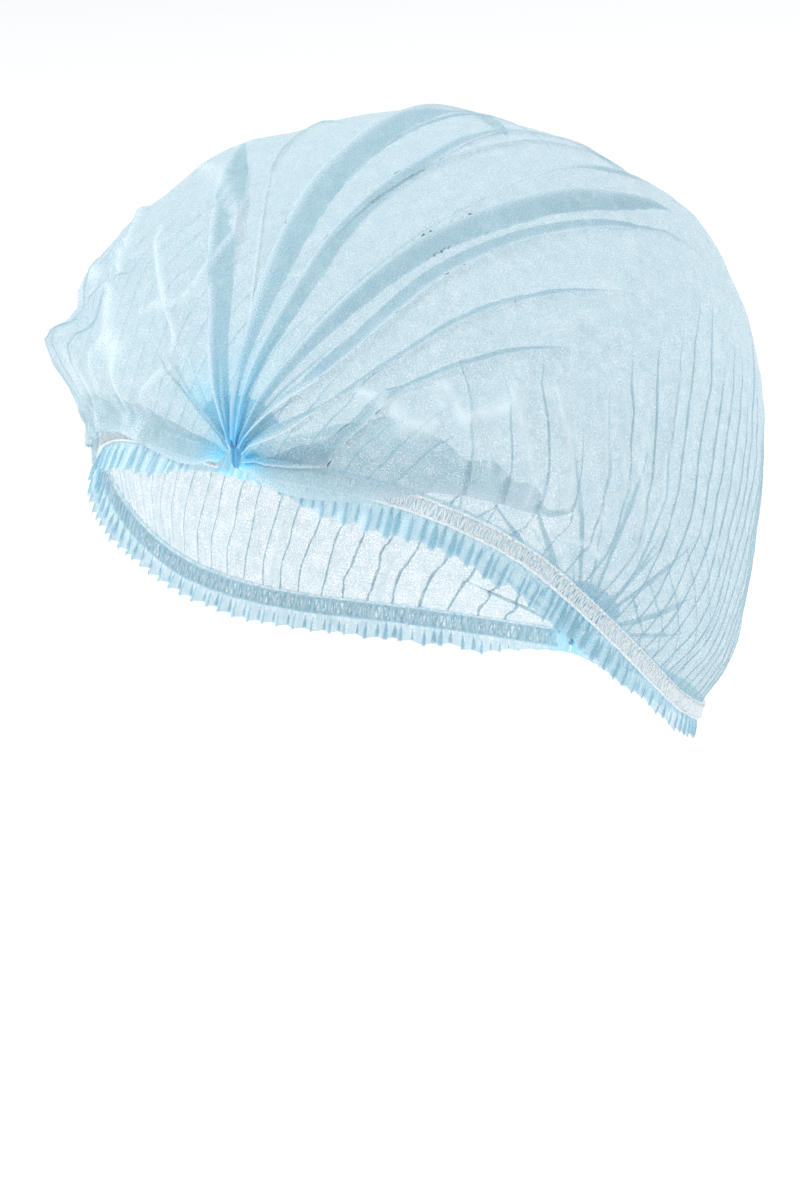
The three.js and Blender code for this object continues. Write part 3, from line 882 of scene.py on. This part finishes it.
def make_gather(name, end):
    """The pinched cloth at a gathered end: a welded tip, a neck and a fan of packed folds."""
    opening = BUNDLE_REACH / (np.pi * GATHER_SPAN)
    v, w = np.meshgrid(np.linspace(0, 1, BUNDLE_ROWS), np.linspace(-1, 1, BUNDLE_COLUMNS), indexing="ij")
    opened = ramp(v, NECK_ENDS, 1) * 0.6 + 0.4 * np.clip((v - NECK_ENDS) / (1 - NECK_ENDS), 0, 1)
    up = np.interp(v, (0, 0.1, NECK_ENDS), (-1.0, 0, EDGE_HEIGHT))
    half = np.interp(v, (0, 0.06, NECK_ENDS), (0.2, 0.4, 0.8))
    neck = near_end(end, up, half * w * -end)
    along = np.full_like(v, opening if end < 0 else 1 - opening)
    quarter = (np.pi / 2 - line_angle(along)) * edge_share(along)
    fan = direction_at(along, np.pi / 2 + end * w * quarter * 0.6)
    direction = neck * (1 - opened[..., None]) + fan * opened[..., None]
    direction /= np.linalg.norm(direction, axis=-1, keepdims=True)

    from_end = np.arccos(np.clip(np.abs(direction @ BACKWARD), 0, 1)) / np.pi
    share = from_end if end < 0 else 1 - from_end
    folds = np.sin(w * 26 + 2.2 * lattice_noise(w * 4, v * 2, 31)) * BUNDLE_FLUTE
    folds += 0.35 * lattice_noise(w * 14, v * 3, 32)
    base = form_radius(direction) + stand_off(share, np.abs(w) * opened)
    proud = np.interp(v, (0, 0.12, NECK_ENDS, 0.5, 1), (-0.4, 0.9, 1.3, 0.3, -1.3))
    crest = np.interp(v, (0, 0.1, 0.3, 1), (0.1, 0.5, 1.0, 0.8))
    thickness = np.interp(v, (0, 0.15, 0.3, 1), (1.4, 2.6, 2.4, 0.35))
    outer = direction * (base + proud + folds * crest)[..., None]
    inner = direction * (base + proud - thickness + 0.5 * folds * crest)[..., None]

    def all_round(front, back):
        """The outer face's columns, the inner face's in reverse, and the first one again."""
        return np.concatenate([front, back[:, ::-1], front[:, :1]], axis=1)

    points = all_round(outer, inner)
    depth = all_round(1 - v, 1 - v)
    paint = {
        "packed": (0.3 + 0.6 * depth ** 2) * (1 if end < 0 else 0.6),
        # Flute crests get the pressed paint: denser, with a painted highlight
        "pressed_and_highlit": 0.3 * np.clip(all_round(folds, folds), 0, 1),
    }
    around, lengthwise = np.meshgrid(np.linspace(0, 1, points.shape[1]), np.linspace(0, 1, BUNDLE_ROWS))
    cloth_uv = np.stack([around, lengthwise], -1) * 2 * BUNDLE_REACH * MM
    return grid_mesh(name, points, paint, bake_map(around, lengthwise, 0.01), cloth_uv)


class Shader:
    """A new material, with short forms of the nodes that it is made of."""

    def __init__(self, name):
        self.material = bpy.data.materials.new(name)
        self.material.use_nodes = True
        self.nodes = self.material.node_tree.nodes
        self.links = self.material.node_tree.links
        self.nodes.clear()

    def feed(self, socket, value):
        """Set a socket to a value, or link it to another node's output."""
        if isinstance(value, bpy.types.NodeSocket):
            self.links.new(value, socket)
        elif isinstance(value, tuple):
            socket.default_value = (*value, 1)
        else:
            socket.default_value = value

    def add(self, kind, sockets):
        node = self.nodes.new(kind)
        for key, value in sockets.items():
            self.feed(node.inputs[key], value)
        return node

    def calc(self, operation, *values):
        node = self.nodes.new("ShaderNodeMath")
        node.operation = operation
        for socket, value in zip(node.inputs, values):
            self.feed(socket, value)
        return node.outputs[0]

    def noise(self, sockets):
        place = self.nodes.new("ShaderNodeTexCoord")
        return self.add("ShaderNodeTexNoise", {"Vector": place.outputs["Object"], **sockets}).outputs["Fac"]

    def paint(self, key):
        node = self.nodes.new("ShaderNodeAttribute")
        node.attribute_name = key
        return node.outputs["Fac"]

    def blend(self, factor, first, second):
        node = self.nodes.new("ShaderNodeMix")
        node.data_type = "RGBA"
        for key, value in (("Factor", factor), ("A", first), ("B", second)):
            self.feed(node.inputs[key], value)
        return node.outputs["Result"]

    def bump(self, height, strength):
        sockets = {"Strength": strength, "Distance": 0.2 * MM, "Height": height}
        return self.add("ShaderNodeBump", sockets).outputs["Normal"]

    def finish(self, shader):
        output = self.nodes.new("ShaderNodeOutputMaterial")
        self.links.new(shader, output.inputs["Surface"])
        return self.material


def cloth_cover(shader, fibres, packed, pressed_and_highlit):
    """How much the web hides: fibres and bond points, denser where it is packed or pressed."""
    clouds = shader.noise({"Scale": CLOUD_SCALE, "Detail": 3.0})
    cloth_uv = shader.nodes.new("ShaderNodeUVMap")
    cloth_uv.uv_map = "Cloth"
    bonds = shader.add("ShaderNodeTexVoronoi", {"Scale": BOND_SCALE, "Randomness": 0.15,
                                                "Vector": cloth_uv.outputs["UV"]})
    web = shader.calc("MULTIPLY_ADD", fibres, 3.2, -1.6)
    web = shader.calc("MULTIPLY_ADD", clouds, 0.7, web)
    web = shader.calc("SUBTRACT", web, 0.35)
    bond_dot = shader.calc("LESS_THAN", bonds.outputs["Distance"], 0.27)
    web = shader.calc("MULTIPLY_ADD", bond_dot, -0.12, web)
    body = shader.calc("MULTIPLY_ADD", packed, PACKED_COVER - THIN_COVER, THIN_COVER)
    body = shader.calc("MULTIPLY_ADD", pressed_and_highlit, PRESSED_COVER, body)
    body = shader.calc("MULTIPLY_ADD", shader.paint("loose"), LOOSE_COVER, body)
    contrast = shader.calc("MULTIPLY_ADD", packed, -0.4, 0.7)
    cover = shader.calc("MULTIPLY_ADD", web, contrast, body)
    clamp = shader.add("ShaderNodeClamp", {"Value": cover, "Min": LEAST_COVER, "Max": MOST_COVER})
    return clamp.outputs["Result"]


def cloth_colour(shader, fibres, packed, pressed_and_highlit):
    """Pale blue, deeper where the cloth is packed, with a painted highlight on pressed crests and creases,
    and whiter single fibres.
    """
    tint = shader.blend(packed, PALE_BLUE, DEEP_BLUE)
    # Painted highlight: pressed crests and creases are mixed towards white
    tint = shader.blend(shader.calc("MULTIPLY", pressed_and_highlit, 0.75), tint, FIBRE_AND_HIGHLIGHT_WHITE)
    fleck = shader.calc("MULTIPLY_ADD", fibres, 4.0, -1.9)
    fleck = shader.calc("MAXIMUM", shader.calc("MINIMUM", fleck, 1.0), 0.0)
    fleck = shader.calc("MULTIPLY", fleck, shader.calc("MULTIPLY_ADD", packed, -0.3, 0.4))
    return shader.blend(fleck, tint, FIBRE_AND_HIGHLIGHT_WHITE)


def cloth_material():
    """Spunbonded nonwoven: a see-through web of fibres that scatters light on both sides."""
    shader = Shader("nonwoven_cloth")
    fibres = shader.noise({"Scale": FIBRE_SCALE, "Detail": 2.0})
    packed = shader.paint("packed")
    pressed_and_highlit = shader.paint("pressed_and_highlit")
    cover = cloth_cover(shader, fibres, packed, pressed_and_highlit)
    colour = cloth_colour(shader, fibres, packed, pressed_and_highlit)
    surface = shader.add("ShaderNodeBsdfPrincipled", {
        "Roughness": 0.62, "Sheen Weight": 0.35, "Sheen Roughness": 0.4, "Specular IOR Level": 0.35,
        "Base Color": colour, "Normal": shader.bump(fibres, 0.12),
    })
    through = shader.add("ShaderNodeBsdfTranslucent", {"Color": colour})
    clear = shader.nodes.new("ShaderNodeBsdfTransparent")
    web = shader.add("ShaderNodeMixShader", {0: 0.5, 1: surface.outputs["BSDF"], 2: through.outputs["BSDF"]})
    final = shader.add("ShaderNodeMixShader", {0: cover, 1: clear.outputs["BSDF"], 2: web.outputs["Shader"]})
    return shader.finish(final.outputs["Shader"])


def thread_material():
    """Textured white elastic thread with a trace of the cloth's blue."""
    shader = Shader("elastic_thread")
    fuzz = shader.noise({"Scale": THREAD_SCALE})
    shades = shader.add("ShaderNodeValToRGB", {"Fac": fuzz})
    for element, place, color in zip(shades.color_ramp.elements, (0.3, 0.6), (THREAD_BLUE, THREAD_WHITE)):
        element.position = place
        element.color = (*color, 1)
    surface = shader.add("ShaderNodeBsdfPrincipled", {
        "Roughness": 0.6, "Base Color": shades.outputs["Color"], "Normal": shader.bump(fuzz, 0.5),
    })
    return shader.finish(surface.outputs["BSDF"])


def floor_material():
    shader = Shader("pale_floor")
    surface = shader.add("ShaderNodeBsdfPrincipled", {"Roughness": 0.8, "Base Color": FLOOR_GREY})
    return shader.finish(surface.outputs["BSDF"])


def dress():
    """Every visible piece, with the node that it stands for and its material; the slot names in the table
    are not used.
    """
    cloth = cloth_material()
    thread = thread_material()
    crown = make_crown()
    gathers = [make_gather("cap_front_gather", -1), make_gather("cap_back_gather", 1)]
    elastics = [make_elastic("cap_elastic_left", 1), make_elastic("cap_elastic_right", -1)]
    ruffles = [make_ruffle("cap_ruffle_left", 1), make_ruffle("cap_ruffle_right", -1)]
    for piece, node, slot, material in (
        (crown, "crown", "cloth", cloth),
        (gathers[0], "front_gather", "packed_cloth", cloth),
        (gathers[1], "back_gather", "packed_cloth", cloth),
        (elastics[0], "elastic_left", "elastic", thread),
        (elastics[1], "elastic_right", "elastic", thread),
        (ruffles[0], "ruffle_left", "cloth", cloth),
        (ruffles[1], "ruffle_right", "cloth", cloth),
    ):
        piece.data.materials.append(material)
        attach(piece, "root")
        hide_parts(node)


def make_stage():
    """A plain pale floor well below the cap."""
    around = ((-1, -1), (1, -1), (1, 1), (-1, 1))
    corners = [(x * FLOOR_HALF, y * FLOOR_HALF, FLOOR_HEIGHT) for x, y in around]
    mesh = bpy.data.meshes.new("floor")
    mesh.from_pydata(corners, [], [(0, 1, 2, 3)])
    floor = bpy.data.objects.new("floor", mesh)
    bpy.context.scene.collection.objects.link(floor)
    mesh.materials.append(floor_material())


def add_lamp(name, place, size, power, color):
    data = bpy.data.lights.new(name, "AREA")
    data.shape = "DISK"
    data.size = size
    data.energy = power
    data.color = color
    lamp = bpy.data.objects.new(name, data)
    bpy.context.scene.collection.objects.link(lamp)
    aim = LAMP_TARGET - Vector(place)
    lamp.matrix_world = Matrix.Translation(place) @ aim.to_track_quat("-Z", "Y").to_matrix().to_4x4()


def make_lights():
    for lamp in LAMPS:
        add_lamp(*lamp)
    world = bpy.data.worlds.new("studio")
    world.use_nodes = True
    background = world.node_tree.nodes["Background"]
    background.inputs["Color"].default_value = (*SKY_COLOR, 1)
    background.inputs["Strength"].default_value = SKY_STRENGTH
    bpy.context.scene.world = world


def make_camera():
    turn, rise, roll = (math.radians(degrees) for degrees in (VIEW_TURN, VIEW_RISE, VIEW_ROLL))
    back = Vector((math.sin(turn) * math.cos(rise), -math.cos(turn) * math.cos(rise), math.sin(rise)))
    level = Vector((math.cos(turn), math.sin(turn), 0))
    upright = back.cross(level)
    right = level * math.cos(roll) + upright * math.sin(roll)
    up = upright * math.cos(roll) - level * math.sin(roll)
    eye = back * VIEW_DISTANCE
    beside = (ORIGIN_PIXEL[0] - PHOTO_WIDTH / 2) / PIXELS_PER_METRE
    below = (ORIGIN_PIXEL[1] - PHOTO_HEIGHT / 2) / PIXELS_PER_METRE
    target = up * below - right * beside
    view_back = (eye - target).normalized()
    view_right = up.cross(view_back).normalized()
    view_up = view_back.cross(view_right)
    data = bpy.data.cameras.new("camera")
    data.sensor_fit = "VERTICAL"
    data.sensor_height = SENSOR_HEIGHT
    data.lens = SENSOR_HEIGHT * VIEW_DISTANCE * PIXELS_PER_METRE / PHOTO_HEIGHT
    data.clip_start = 0.05
    data.clip_end = 30.0
    camera = bpy.data.objects.new("camera", data)
    bpy.context.scene.collection.objects.link(camera)
    axes = Matrix((view_right, view_up, view_back)).transposed().to_4x4()
    camera.matrix_world = Matrix.Translation(eye) @ axes
    bpy.context.scene.camera = camera


make_camera()
make_stage()
make_lights()
dress()
bpy.context.scene.view_settings.view_transform = "Standard"
bpy.context.scene.cycles.transparent_max_bounces = 32
